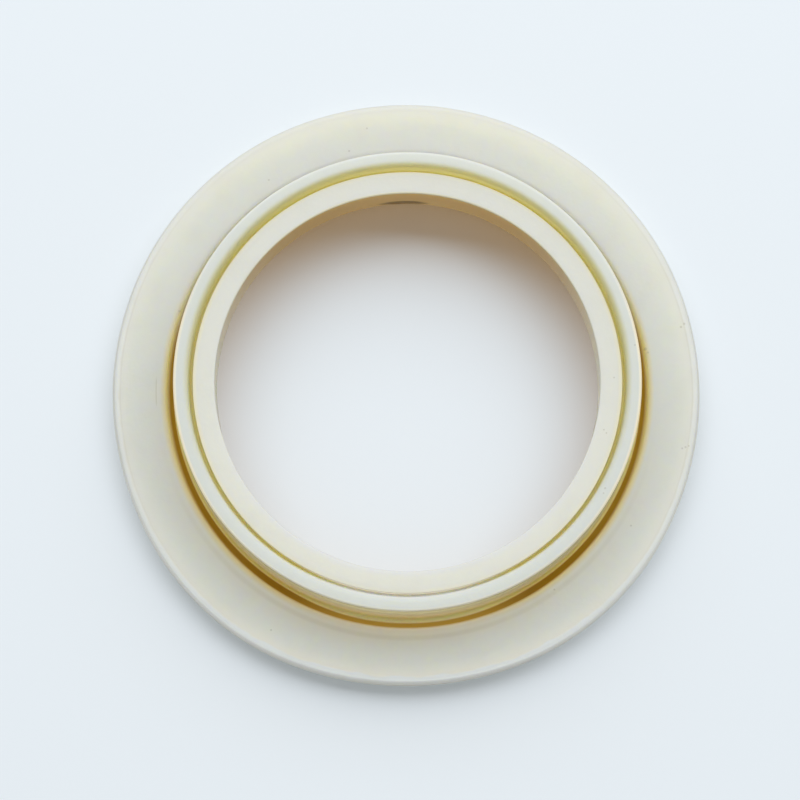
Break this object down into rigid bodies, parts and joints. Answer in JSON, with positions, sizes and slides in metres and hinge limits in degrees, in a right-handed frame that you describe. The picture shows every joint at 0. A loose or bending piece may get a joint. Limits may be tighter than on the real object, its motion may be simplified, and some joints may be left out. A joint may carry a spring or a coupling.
{
  "type": "group head gasket",
  "caption": "Round silicone gasket that seals a filter basket against an espresso group: flat flange, raised collar with a rolled rim, and a flexible inner lip round the bore.",
  "frame": {"origin": "centre of the flat back face", "axes": "+Z along the axis of the bore, from the back face towards the lip and the rim; the part is round, so +X and +Y are any two directions at right angles in the back face"},
  "size_m": [0.072, 0.072, 0.0084],
  "materials": {
    "silicone": "satin cream silicone, slightly see-through at thin edges"
  },
  "bodies": {
    "root": {"gasket": "silicone"}
  },
  "joints": []
}
